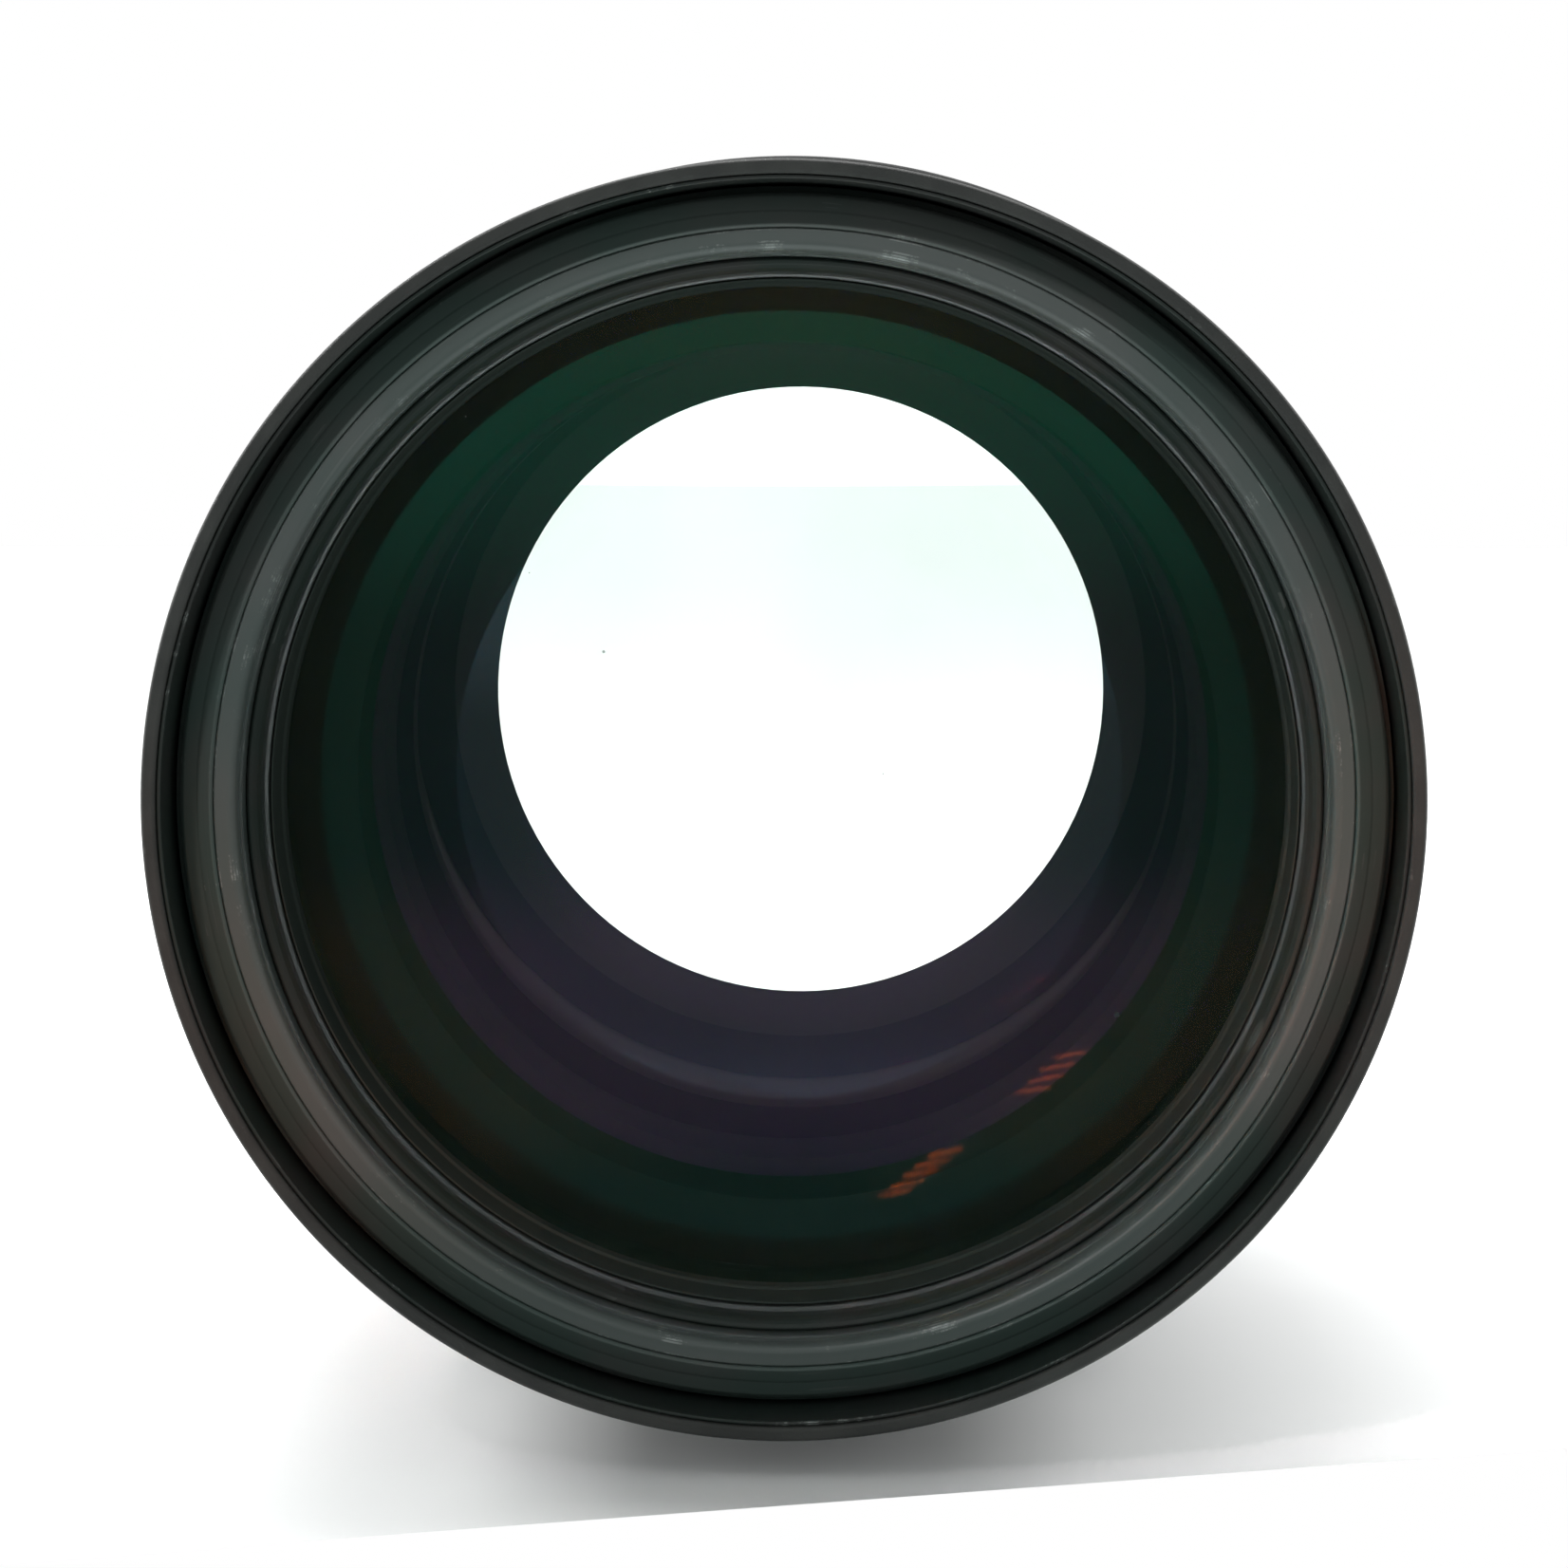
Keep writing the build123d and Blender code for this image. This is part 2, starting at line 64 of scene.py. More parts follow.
def softened(outline, bevel):
    """The outline with rounded corners, as (radius, station, wear): wear is 1 on an outer corner."""
    count = len(outline)
    area = sum(
        a[0] * b[1] - b[0] * a[1] for a, b in zip(outline, outline[1:] + outline[:1])
    )
    points = []
    for i, corner in enumerate(outline):
        here = Vector(corner)
        before = Vector(outline[i - 1]) - here
        after = Vector(outline[(i + 1) % count]) - here
        turn = before.x * after.y - before.y * after.x
        outer = 1.0 if turn * area < 0 else 0.0
        reach_along = min(bevel, 0.4 * before.length, 0.4 * after.length)
        start = here + before.normalized() * reach_along
        end = here + after.normalized() * reach_along
        lead = here + before.normalized() * reach_along * 1.15
        trail = here + after.normalized() * reach_along * 1.15
        points.append((lead.x, lead.y, 0.0))
        for share in (0.0, 1 / 3, 2 / 3, 1.0):
            p = start.lerp(here, share).lerp(here.lerp(end, share), share)
            points.append((p.x, p.y, outer))
        points.append((trail.x, trail.y, 0.0))
    return points


def spun(name, points, around):
    """A closed piece of (radius, station, wear) points spun about the optical axis."""
    mesh = bpy.data.meshes.new(name)
    verts, wear = [], []
    for j in range(around):
        angle = 2 * math.pi * j / around
        for radius, station, worn in points:
            verts.append(
                (radius * math.cos(angle) * MM, -station * MM, radius * math.sin(angle) * MM)
            )
            wear.append(worn)
    n = len(points)
    faces = []
    for j in range(around):
        k = (j + 1) % around
        for i in range(n):
            m = (i + 1) % n
            faces.append((j * n + i, j * n + m, k * n + m, k * n + i))
    mesh.from_pydata(verts, [], faces)
    attribute = mesh.attributes.new("wear", "FLOAT", "POINT")
    attribute.data.foreach_set("value", wear)
    tidy = bmesh.new()
    tidy.from_mesh(mesh)
    bmesh.ops.remove_doubles(tidy, verts=tidy.verts, dist=1e-8)
    bmesh.ops.recalc_face_normals(tidy, faces=tidy.faces)
    tidy.to_mesh(mesh)
    tidy.free()
    mesh.shade_smooth()
    piece = bpy.data.objects.new(name, mesh)
    bpy.context.scene.collection.objects.link(piece)
    return piece


def turned(name, outline, bevel=0.08, around=256):
    """A lathe-turned ring with softened corners."""
    return spun(name, softened(outline, bevel), around)


def fitted(piece, body, slot, material, *nodes):
    """Gives a piece its material and body; slot is not used; nodes are the CAD nodes it stands for."""
    piece.data.materials.clear()
    piece.data.materials.append(material)
    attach(piece, body)
    if nodes:
        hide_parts(*nodes)


def node(tree, kind, inputs=None, **settings):
    """Adds a shader or geometry node; inputs are numbers, colours or other nodes' outputs."""
    made = tree.nodes.new(kind)
    for key, value in settings.items():
        setattr(made, key, value)
    for key, value in (inputs or {}).items():
        if isinstance(value, bpy.types.NodeSocket):
            tree.links.new(value, made.inputs[key])
        else:
            made.inputs[key].default_value = value
    return made


def maths(tree, operation, a, b=0.0, c=0.0):
    return node(tree, "ShaderNodeMath", {0: a, 1: b, 2: c}, operation=operation).outputs[0]


def placed_at(tree):
    """The point on the object, in metres."""
    return node(tree, "ShaderNodeTexCoord").outputs["Object"]


def placed_at_mm(tree):
    """The point on the object, in millimetres."""
    return node(
        tree, "ShaderNodeVectorMath", {0: placed_at(tree), 3: 1 / MM}, operation="SCALE",
    ).outputs[0]


def noise(tree, where, scale, detail, roughness=0.5):
    return node(tree, "ShaderNodeTexNoise", {
        "Vector": where, "Scale": scale, "Detail": detail, "Roughness": roughness,
    }).outputs[0]


def blended(tree, mask, a, b):
    """Colour a where the mask is 0, and b where it is 1."""
    mixed = node(tree, "ShaderNodeMix", {"Factor": mask}, data_type="RGBA")
    for socket, value in ((mixed.inputs[6], a), (mixed.inputs[7], b)):
        if isinstance(value, bpy.types.NodeSocket):
            tree.links.new(value, socket)
        else:
            socket.default_value = (*value, 1.0)
    return mixed.outputs[2]


def ramped(tree, value, low, high):
    """0 at low, 1 at high, with a smooth step between them."""
    return node(
        tree, "ShaderNodeMapRange", {"Value": value, "From Min": low, "From Max": high},
        interpolation_type="SMOOTHSTEP",
    ).outputs[0]


def group(name, inputs, outputs):
    """An empty shader node group with float inputs, as {name: default}, and float outputs."""
    tree = bpy.data.node_groups.new(name, "ShaderNodeTree")
    for label, value in inputs.items():
        made = tree.interface.new_socket(label, in_out="INPUT", socket_type="NodeSocketFloat")
        made.default_value = value
    for label in outputs:
        tree.interface.new_socket(label, in_out="OUTPUT", socket_type="NodeSocketFloat")
    return tree, tree.nodes.new("NodeGroupInput"), tree.nodes.new("NodeGroupOutput")


def use(tree, effect, **inputs):
    """Places a node group in a material with its own values."""
    placed = tree.nodes.new("ShaderNodeGroup")
    placed.node_tree = effect
    for label, value in inputs.items():
        placed.inputs[label.replace("_", " ")].default_value = value
    return placed.outputs


def shader(name, roughness, metallic=0.0, coat=0.0):
    """A new material; returns it with its tree and its Principled shader."""
    made = bpy.data.materials.new(name)
    made.use_nodes = True
    tree = made.node_tree
    surface = tree.nodes["Principled BSDF"]
    surface.inputs["Roughness"].default_value = roughness
    surface.inputs["Metallic"].default_value = metallic
    surface.inputs["Coat Weight"].default_value = coat
    return made, tree, surface


def bumped(tree, surface, height, distance):
    """Drives the shader's normal with a height of 0 to 1 over a distance in millimetres."""
    bump = node(
        tree, "ShaderNodeBump", {"Height": height, "Distance": distance * MM, "Strength": 1.0}
    )
    tree.links.new(bump.outputs[0], surface.inputs["Normal"])


def round_axis(tree, wander, per_mm):
    """Coordinates stretched round the axis, so that noise on them is drawn out into rings."""
    xyz = node(tree, "ShaderNodeSeparateXYZ", {0: placed_at(tree)}).outputs
    flat = node(tree, "ShaderNodeCombineXYZ", {"X": xyz["X"], "Z": xyz["Z"]}).outputs[0]
    radius = node(tree, "ShaderNodeVectorMath", {0: flat}, operation="LENGTH").outputs["Value"]
    along = maths(tree, "MULTIPLY_ADD", radius, 1.3, xyz["Y"])
    along_mm = maths(tree, "MULTIPLY", along, 1 / MM)
    return node(tree, "ShaderNodeCombineXYZ", {
        "X": maths(tree, "MULTIPLY", maths(tree, "DIVIDE", xyz["X"], radius), wander),
        "Y": maths(tree, "MULTIPLY", maths(tree, "DIVIDE", xyz["Z"], radius), wander),
        "Z": maths(tree, "MULTIPLY", along_mm, per_mm),
    }).outputs[0]


# Tool marks: fine rings round the axis, left by the lathe.
tool_marks, given, made_out = group("tool marks", {"Lines": 9.0, "Wander": 0.6}, ["Height"])
rings = round_axis(tool_marks, given.outputs["Wander"], given.outputs["Lines"])
marks = noise(tool_marks, rings, 1.0, 3.0, 0.7)
tool_marks.links.new(marks, made_out.inputs["Height"])

# Dust: scattered specks of uneven size.
dust, given, made_out = group("dust", {"Per mm": 0.8, "Size": 0.09, "Spread": 0.35}, ["Mask"])
cells = node(dust, "ShaderNodeTexVoronoi", {
    "Vector": placed_at_mm(dust), "Scale": given.outputs["Per mm"],
})
lots = node(dust, "ShaderNodeSeparateColor", {0: cells.outputs["Color"]}).outputs
kept = maths(dust, "LESS_THAN", lots[0], given.outputs["Spread"])
speck_size = maths(dust, "MULTIPLY", maths(dust, "POWER", lots[1], 4.0), given.outputs["Size"])
speck = maths(dust, "LESS_THAN", cells.outputs["Distance"], speck_size)
dust.links.new(maths(dust, "MULTIPLY", speck, kept), made_out.inputs["Mask"])

# Hairlines: short scratches round the axis, from turning the piece in its seat.
hairlines, given, made_out = group(
    "hairlines", {"Per mm": 6.0, "Breaks": 5.0, "Share": 0.3}, ["Mask"]
)
rings = round_axis(hairlines, given.outputs["Breaks"], given.outputs["Per mm"])
scratch = noise(hairlines, rings, 1.0, 0.0)
patches = noise(hairlines, placed_at(hairlines), 220.0, 2.0)
bare = maths(hairlines, "SUBTRACT", 1.0, given.outputs["Share"])
shown = maths(hairlines, "GREATER_THAN", patches, bare)
line = ramped(hairlines, scratch, 0.68, 0.76)
hairlines.links.new(maths(hairlines, "MULTIPLY", line, shown), made_out.inputs["Mask"])

# Edge wear: the finish rubbed through along the outer corners, in patches.
edge_wear, given, made_out = group("edge wear", {"Amount": 0.5, "Patch per mm": 0.5}, ["Mask"])
patchy = noise(edge_wear, placed_at_mm(edge_wear), given.outputs["Patch per mm"], 6.0, 0.8)
corner = node(edge_wear, "ShaderNodeAttribute", attribute_name="wear").outputs["Fac"]
level = maths(edge_wear, "SUBTRACT", maths(edge_wear, "ADD", patchy, given.outputs["Amount"]), 1.0)
worn_through = ramped(edge_wear, level, -0.05, 0.06)
edge_wear.links.new(maths(edge_wear, "MULTIPLY", worn_through, corner), made_out.inputs["Mask"])


def satin_chrome():
    """Satin plating with lathe rings, rub marks from turning and long marks from sliding in."""
    made, tree, surface = shader("satin chrome", 0.28, metallic=1.0)
    marks = use(tree, tool_marks, Lines=12.0, Wander=0.4)["Height"]
    lines = use(tree, hairlines, Per_mm=7.0, Breaks=3.5, Share=0.5)["Mask"]
    specks = use(tree, dust, Per_mm=0.7, Size=0.06, Spread=0.12)["Mask"]
    drawn_out = node(tree, "ShaderNodeVectorMath", {
        0: placed_at(tree), 1: (4200.0, 90.0, 4200.0),
    }, operation="MULTIPLY").outputs[0]
    slid = ramped(tree, noise(tree, drawn_out, 1.0, 1.0), 0.66, 0.74)
    plate = blended(tree, marks, (0.165, 0.169, 0.173), (0.215, 0.219, 0.223))
    plate = blended(tree, maths(tree, "MULTIPLY", lines, 0.5), plate, (0.30, 0.30, 0.31))
    plate = blended(tree, maths(tree, "MULTIPLY", slid, 0.5), plate, (0.125, 0.125, 0.128))
    tree.links.new(blended(tree, specks, plate, (0.15, 0.145, 0.14)), surface.inputs["Base Color"])
    rough = maths(tree, "MULTIPLY_ADD", marks, 0.12, 0.2)
    tree.links.new(maths(tree, "MULTIPLY_ADD", slid, 0.15, rough), surface.inputs["Roughness"])
    bumped(tree, surface, marks, 0.0015)
    return made


BARREL_FOOT, BARREL_TOP, BARREL_R = reach("nose_barrel")
UNDERCUT_R = BARREL_R - 0.6
BARREL_IN_R = 23.0
SPIGOT_R = 24.5
NECK_R = 24.9
FILTER_THREAD_R = 23.6
FILTER_THREAD_TOP = BARREL_FOOT + 5.4
RELIEF_DEPTH = 0.28

chrome = satin_chrome()
nose = turned("nose_barrel_plated", [
    (BARREL_R, 0.0),
    (BARREL_R, -8.0),
    (UNDERCUT_R, -9.0),
    (UNDERCUT_R, -18.9),
    (BARREL_R, -19.5),
    (BARREL_R, BARREL_FOOT + 0.5),
    (BARREL_R - 0.5, BARREL_FOOT),
    (FILTER_THREAD_R + 0.35, BARREL_FOOT),
    (FILTER_THREAD_R, BARREL_FOOT + 0.35),
    (FILTER_THREAD_R, FILTER_THREAD_TOP),
    (BARREL_IN_R, FILTER_THREAD_TOP),
    (BARREL_IN_R, BARREL_TOP),
    (SPIGOT_R, BARREL_TOP),
    (SPIGOT_R, RELIEF_DEPTH),
    (NECK_R, RELIEF_DEPTH),
    (NECK_R, 0.0),
], bevel=0.15)
fitted(nose, "body", "satin_chrome", chrome, "nose_barrel")


def helix_tree():
    """Geometry nodes: a screw thread as a three-sided ridge wound on a helix along Z."""
    tree = bpy.data.node_groups.new("screw thread", "GeometryNodeTree")
    for label in ("Radius", "Turns", "Length", "Ridge"):
        tree.interface.new_socket(label, in_out="INPUT", socket_type="NodeSocketFloat")
    tree.interface.new_socket("Material", in_out="INPUT", socket_type="NodeSocketMaterial")
    tree.interface.new_socket("Geometry", in_out="OUTPUT", socket_type="NodeSocketGeometry")
    sizes = tree.nodes.new("NodeGroupInput").outputs
    path = node(tree, "GeometryNodeCurveSpiral", {
        "Resolution": 90, "Rotations": sizes["Turns"], "Start Radius": sizes["Radius"],
        "End Radius": sizes["Radius"], "Height": sizes["Length"],
    }).outputs[0]
    ridge = node(tree, "GeometryNodeCurvePrimitiveCircle", {"Resolution": 3, "Radius": sizes["Ridge"]})
    wound = node(tree, "GeometryNodeCurveToMesh", {
        "Curve": path, "Profile Curve": ridge.outputs[0], "Fill Caps": True,
    }).outputs[0]
    real = node(tree, "GeometryNodeRealizeInstances", {0: wound}).outputs[0]
    done = node(tree, "GeometryNodeSetMaterial", {"Geometry": real, "Material": sizes["Material"]})
    out = tree.nodes.new("NodeGroupOutput")
    tree.links.new(done.outputs[0], out.inputs[0])
    return tree


def grown(name, tree, place, **inputs):
    """Runs a geometry node tree with named inputs and gives its result as a plain mesh piece."""
    holder = bpy.data.objects.new(name + "_maker", bpy.data.meshes.new(name + "_maker"))
    bpy.context.scene.collection.objects.link(holder)
    maker = holder.modifiers.new("maker", "NODES")
    maker.node_group = tree
    for socket in tree.interface.items_tree:
        label = socket.name.replace(" ", "_")
        if socket.in_out == "INPUT" and label in inputs:
            maker[socket.identifier] = inputs[label]
    holder.update_tag()
    settled = bpy.context.evaluated_depsgraph_get()
    mesh = bpy.data.meshes.new_from_object(holder.evaluated_get(settled), depsgraph=settled)
    mesh.name = name
    bpy.data.objects.remove(holder)
    mesh.transform(place)
    piece = bpy.data.objects.new(name, mesh)
    bpy.context.scene.collection.objects.link(piece)
    return piece


# Z of a tree that works along the axis is turned to point from the nose to the eye.
ALONG_AXIS = Matrix.Rotation(math.radians(90), 4, "X")
THREAD_PITCH = 0.75
THREAD_TURNS = 6.0
THREAD_RIDGE = 0.22

screw_thread = helix_tree()
thread_foot = Matrix.Translation((0, -(BARREL_FOOT + 0.5) * MM, 0)) @ ALONG_AXIS
filter_thread = grown(
    "filter_thread", screw_thread, thread_foot,
    Radius=(FILTER_THREAD_R - 0.02) * MM, Turns=THREAD_TURNS,
    Length=THREAD_TURNS * THREAD_PITCH * MM, Ridge=THREAD_RIDGE * MM, Material=chrome,
)
fitted(filter_thread, "body", "satin_chrome", chrome)

# ---- Field stop -----------------------------------------------------------------------------
# A blackened aluminium ring screwed into the barrel from the nose. Its knife edge bounds the
# view, and two slots across its lower face take a pin spanner. Above it a thin black lining,
# pushed into the barrel, hides the plating from the eye.


def baffle_paint(name, low, high):
    """Dull anti-reflection paint, sprayed over tool marks, with a few specks of dust."""
    made, tree, surface = shader(name, 0.8)
    surface.inputs["Specular IOR Level"].default_value = 0.0
    marks = use(tree, tool_marks, Lines=5.0, Wander=0.8)["Height"]
    specks = use(tree, dust, Per_mm=0.6, Size=0.06, Spread=0.12)["Mask"]
    paint = blended(tree, marks, low, high)
    tree.links.new(blended(tree, specks, paint, (0.10, 0.10, 0.09)), surface.inputs["Base Color"])
    tree.links.new(maths(tree, "MULTIPLY_ADD", marks, 0.2, 0.7), surface.inputs["Roughness"])
    bumped(tree, surface, marks, 0.01)
    return made


def finished(name, material):
    """Gives a CAD node that keeps its shape a better material."""
    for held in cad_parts[name].material_slots:
        held.material = material


STOP_TOP = reach("field_stop")[1]
LINING_FOOT = STOP_TOP + 0.05
LINING_TOP = BARREL_TOP - 0.3
LINING_R = BARREL_IN_R - 0.01
LINING_IN_R = BARREL_IN_R - 0.12

brown_black = baffle_paint(
    "brown-black baffle paint", (0.027, 0.023, 0.024), (0.037, 0.032, 0.033)
)
finished("field_stop", brown_black)
lining = turned("nose_barrel_lining", [
    (LINING_IN_R, LINING_FOOT),
    (LINING_R, LINING_FOOT),
    (LINING_R, LINING_TOP),
    (LINING_IN_R, LINING_TOP),
], bevel=0.02)
fitted(lining, "body", "black_interior", brown_black)

# ---- Main body ------------------------------------------------------------------------------
# The turned aluminium housing, black anodised. Its shoulder seats on the focuser, a groove and
# a taper lead up to the grip, and the pocket above takes the skirt of the eyecup.


def anodised(name, green, brown, wear, gloss):
    """Satin black anodising: patches of green and brown black, tool marks, and rubbed edges."""
    made, tree, surface = shader(name, 0.38)
    surface.inputs["Specular IOR Level"].default_value = gloss
    marks = use(tree, tool_marks, Lines=5.0, Wander=0.35)["Height"]
    lines = use(tree, hairlines, Per_mm=6.0, Breaks=6.0, Share=0.4)["Mask"]
    specks = use(tree, dust, Per_mm=0.8, Size=0.06, Spread=0.12)["Mask"]
    rubbed = use(tree, edge_wear, Amount=wear, Patch_per_mm=0.35)["Mask"]
    patch = noise(tree, placed_at(tree), 160.0, 2.0)
    finish = blended(tree, ramped(tree, patch, 0.35, 0.65), green, brown)
    shade = maths(tree, "MULTIPLY", marks, 0.22)
    finish = blended(tree, shade, finish, [1.8 * c for c in brown])
    finish = blended(tree, maths(tree, "MULTIPLY", lines, 0.25), finish, (0.16, 0.17, 0.165))
    finish = blended(tree, rubbed, finish, (0.24, 0.255, 0.25))
    tree.links.new(blended(tree, specks, finish, (0.45, 0.45, 0.43)), surface.inputs["Base Color"])
    tree.links.new(maths(tree, "MULTIPLY", rubbed, 0.7), surface.inputs["Metallic"])
    rough = maths(tree, "MULTIPLY_ADD", marks, 0.10, 0.36)
    tree.links.new(maths(tree, "MULTIPLY_ADD", specks, 0.4, rough), surface.inputs["Roughness"])
    bumped(tree, surface, marks, 0.0010)
    return made


def drilled(piece, radius, inner, outer, station, angles):
    """Cuts plain round holes that point out from the axis, at angles in degrees."""
    cutters = bmesh.new()
    out_to_middle = Matrix.Translation(((inner + outer) / 2 * MM, -station * MM, 0))
    laid_over = Matrix.Rotation(math.radians(90), 4, "Y")
    for angle in angles:
        place = Matrix.Rotation(math.radians(-angle), 4, "Y") @ out_to_middle @ laid_over
        bmesh.ops.create_cone(
            cutters, cap_ends=True, segments=32, radius1=radius * MM, radius2=radius * MM,
            depth=(outer - inner) * MM, matrix=place,
        )
    mesh = bpy.data.meshes.new("drill")
    cutters.to_mesh(mesh)
    cutters.free()
    drill = bpy.data.objects.new("drill", mesh)
    bpy.context.scene.collection.objects.link(drill)
    cut = piece.modifiers.new("drill", "BOOLEAN")
    cut.object = drill
    cut.operation = "DIFFERENCE"
    cut.solver = "EXACT"
    settled = bpy.context.evaluated_depsgraph_get()
    whole = bpy.data.meshes.new_from_object(piece.evaluated_get(settled), depsgraph=settled)
    piece.modifiers.clear()
    piece.data = whole
    bpy.data.objects.remove(drill)


THREE_ROUND = (90.0, 210.0, 330.0)
SCREW_HOLE_R = 1.52
_, BODY_TOP, BODY_R = reach("main_body")
SHOULDER_R = BODY_R - 1.9
SHOULDER_GROOVE_R = SHOULDER_R - 0.7
GRIP_SEAT_R = BODY_R - 0.5
SPIGOT_BORE_R = 24.52
SEAT_RELIEF_R = 25.9
POCKET_R = 28.6
POCKET_FLOOR = 25.8
TUBE_BORE_R = 26.42
TUBE_BORE_FLOOR = 3.95
GRIP_FOOT, GRIP_HEAD, GRIP_R = reach("grip_rubber")

body_black = anodised(
    "black anodised body", (0.010, 0.0135, 0.0122), (0.015, 0.0155, 0.015), wear=0.34, gloss=0.32
)
housing = turned("main_body_anodised", [
    (SPIGOT_BORE_R, RELIEF_DEPTH),
    (SEAT_RELIEF_R, RELIEF_DEPTH),
    (SEAT_RELIEF_R, 0.0),
    (SHOULDER_R - 0.4, 0.0),
    (SHOULDER_R, 0.4),
    (SHOULDER_R, 3.2),
    (SHOULDER_GROOVE_R, 3.9),
    (SHOULDER_GROOVE_R, 4.7),
    (SHOULDER_R, 5.4),
    (BODY_R - 0.1, 9.6),
    (BODY_R, 9.9),
    (BODY_R, GRIP_FOOT - 0.3),
    (BODY_R - 0.2, GRIP_FOOT - 0.1),
    (GRIP_SEAT_R, GRIP_FOOT - 0.1),
    (GRIP_SEAT_R, GRIP_HEAD + 0.1),
    (BODY_R - 0.2, GRIP_HEAD + 0.1),
    (BODY_R, GRIP_HEAD + 0.3),
    (BODY_R, GRIP_HEAD + 1.6),
    (BODY_R - 0.9, BODY_TOP - 0.5),
    (BODY_R - 1.1, BODY_TOP),
    (POCKET_R, BODY_TOP),
    (POCKET_R, POCKET_FLOOR),
    (TUBE_BORE_R, POCKET_FLOOR),
    (TUBE_BORE_R, TUBE_BORE_FLOOR),
    (SPIGOT_BORE_R, TUBE_BORE_FLOOR),
], bevel=0.14)
drilled(housing, SCREW_HOLE_R, inner=25.9, outer=31.0, station=17.0, angles=THREE_ROUND)
fitted(housing, "body", "black_anodised", body_black, "main_body")


def blackened_steel():
    made, tree, surface = shader("blackened steel", 0.35, metallic=0.7)
    marks = use(tree, tool_marks, Lines=6.0, Wander=2.0)["Height"]
    steel = blended(tree, marks, (0.018, 0.018, 0.019), (0.06, 0.06, 0.062))
    tree.links.new(steel, surface.inputs["Base Color"])
    tree.links.new(maths(tree, "MULTIPLY_ADD", marks, 0.25, 0.25), surface.inputs["Roughness"])
    return made


# Three grub screws lock the lens tube in the body, under the grip.
screw_black = blackened_steel()
finished("body_set_screws", screw_black)

# ---- Grip -----------------------------------------------------------------------------------
# A moulded rubber band stretched over its seat on the body, with a row of upright ribs between
# two plain beads.


def moulded_rubber(name, low, high):
    """Matt rubber: a fine mould grain, a bloom of dust in the grain and a few specks."""
    made, tree, surface = shader(name, 0.72)
    surface.inputs["Specular IOR Level"].default_value = 0.3
    in_mm = placed_at_mm(tree)
    grain = noise(tree, in_mm, 7.0, 4.0, 0.6)
    bloom = noise(tree, in_mm, 0.35, 3.0, 0.55)
    specks = use(tree, dust, Per_mm=0.9, Size=0.075, Spread=0.3)["Mask"]
    rubbed = use(tree, edge_wear, Amount=0.35, Patch_per_mm=0.6)["Mask"]
    skin = blended(tree, ramped(tree, bloom, 0.35, 0.7), low, high)
    skin = blended(tree, maths(tree, "MULTIPLY", rubbed, 0.5), skin, (0.11, 0.115, 0.11))
    tree.links.new(blended(tree, specks, skin, (0.42, 0.41, 0.39)), surface.inputs["Base Color"])
    tree.links.new(maths(tree, "MULTIPLY_ADD", grain, 0.3, 0.5), surface.inputs["Roughness"])
    bumped(tree, surface, grain, 0.02)
    return made


